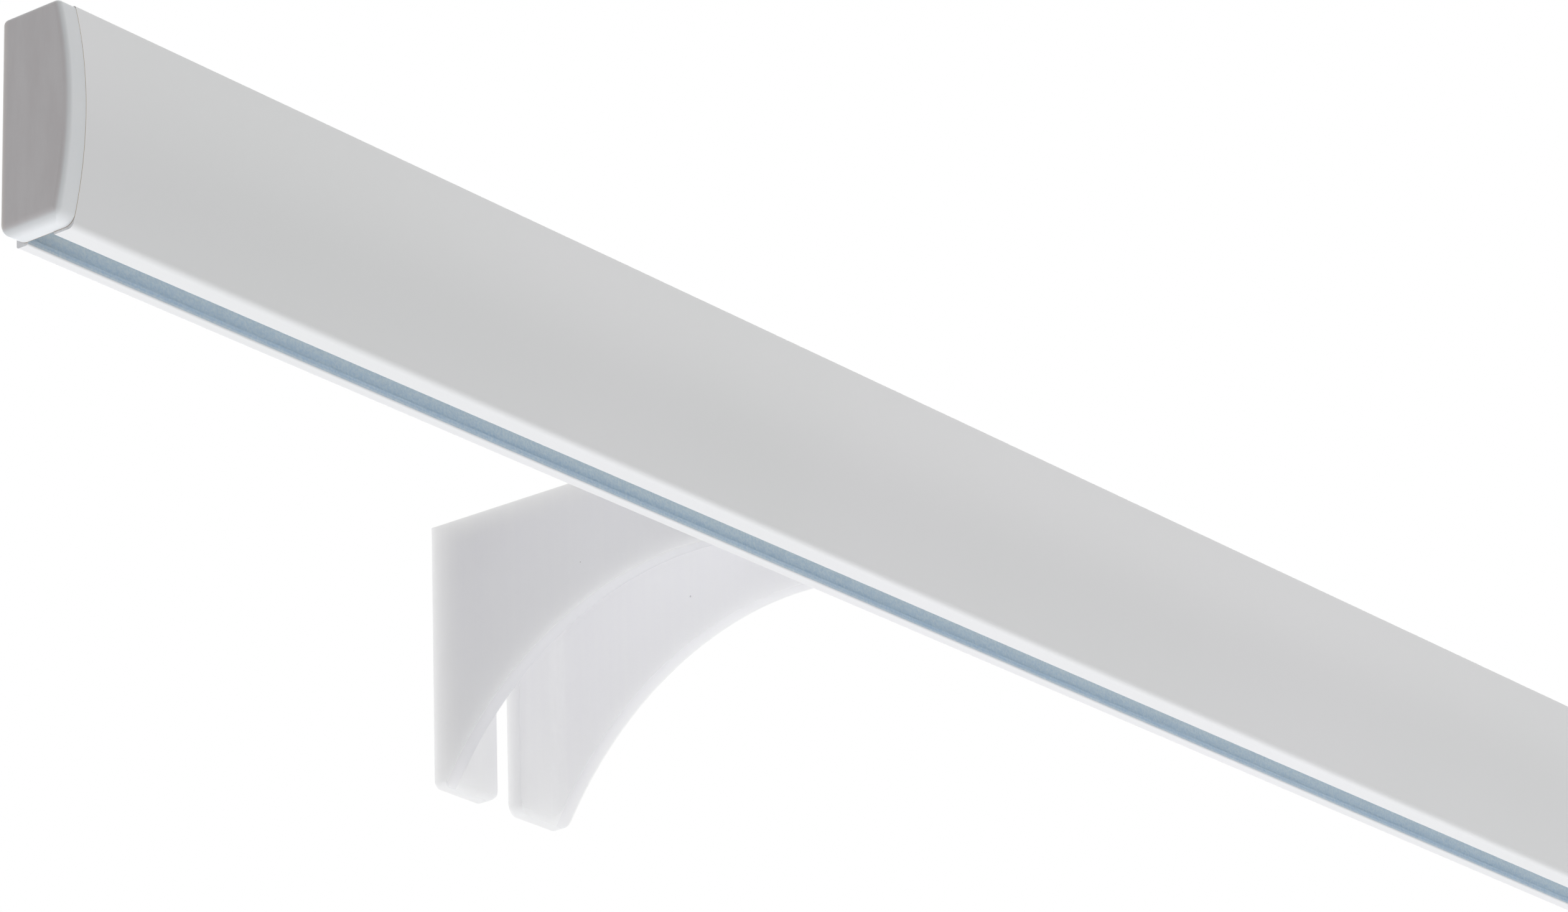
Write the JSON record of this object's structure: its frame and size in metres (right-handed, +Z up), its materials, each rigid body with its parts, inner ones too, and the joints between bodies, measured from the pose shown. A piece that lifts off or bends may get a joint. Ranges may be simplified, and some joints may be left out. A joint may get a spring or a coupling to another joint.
{
  "type": "curtain track",
  "caption": "Wall-fixed curtain track: white D-shaped rail with a glider slot below, rounded end caps, concave corbel brackets clamped into its back groove, and sliding gliders.",
  "frame": {"origin": "seat of the left bracket's wall screw: centre of the slot's round end, on the wall plane, level with the rail's underside", "axes": "+X along the rail, +Y into the wall, +Z up"},
  "size_m": [1.2086, 0.0855, 0.0692],
  "materials": {
    "coated_aluminium": "satin white powder coat outside, bare metal in the channel",
    "cap_plastic": "fine satin, white with a slight warm lilac tone",
    "bracket_plastic": "slightly translucent white, satin",
    "glider_plastic": "smooth white",
    "zinc_steel": "zinc plated"
  },
  "bodies": {
    "track": {"rail": "coated_aluminium", "end_cap_left": "cap_plastic", "end_cap_right": "cap_plastic", "wall_bracket_left": "bracket_plastic", "clamp_screw_left": "zinc_steel", "clamp_washer_left": "zinc_steel", "groove_nut_left": "zinc_steel", "wall_bracket_right": "bracket_plastic", "clamp_screw_right": "zinc_steel", "clamp_washer_right": "zinc_steel", "groove_nut_right": "zinc_steel"},
    "glider_01": {"glider_01": "glider_plastic"},
    "glider_02": {"glider_02": "glider_plastic"},
    "glider_03": {"glider_03": "glider_plastic"},
    "glider_04": {"glider_04": "glider_plastic"},
    "glider_05": {"glider_05": "glider_plastic"},
    "glider_06": {"glider_06": "glider_plastic"},
    "glider_07": {"glider_07": "glider_plastic"},
    "glider_08": {"glider_08": "glider_plastic"},
    "glider_09": {"glider_09": "glider_plastic"},
    "glider_10": {"glider_10": "glider_plastic"}
  },
  "joints": [
    {"name": "glider_01_slide", "type": "slide", "parent": "glider_02", "child": "glider_01", "axis": [-1, 0, 0], "range_m": [0, 0.1106]},
    {"name": "glider_02_slide", "type": "slide", "parent": "glider_03", "child": "glider_02", "axis": [-1, 0, 0], "range_m": [0, 0.1106]},
    {"name": "glider_03_slide", "type": "slide", "parent": "glider_04", "child": "glider_03", "axis": [-1, 0, 0], "range_m": [0, 0.1106]},
    {"name": "glider_04_slide", "type": "slide", "parent": "glider_05", "child": "glider_04", "axis": [-1, 0, 0], "range_m": [0, 0.1106]},
    {"name": "glider_05_slide", "type": "slide", "parent": "glider_06", "child": "glider_05", "axis": [-1, 0, 0], "range_m": [0, 0.1106]},
    {"name": "glider_06_slide", "type": "slide", "parent": "glider_07", "child": "glider_06", "axis": [-1, 0, 0], "range_m": [0, 0.1106]},
    {"name": "glider_07_slide", "type": "slide", "parent": "glider_08", "child": "glider_07", "axis": [-1, 0, 0], "range_m": [0, 0.1106]},
    {"name": "glider_08_slide", "type": "slide", "parent": "glider_09", "child": "glider_08", "axis": [-1, 0, 0], "range_m": [0, 0.1106]},
    {"name": "glider_09_slide", "type": "slide", "parent": "glider_10", "child": "glider_09", "axis": [-1, 0, 0], "range_m": [0, 0.1106]},
    {"name": "glider_10_slide", "type": "slide", "parent": "track", "child": "glider_10", "axis": [-1, 0, 0], "range_m": [0, 0.1106]}
  ]
}
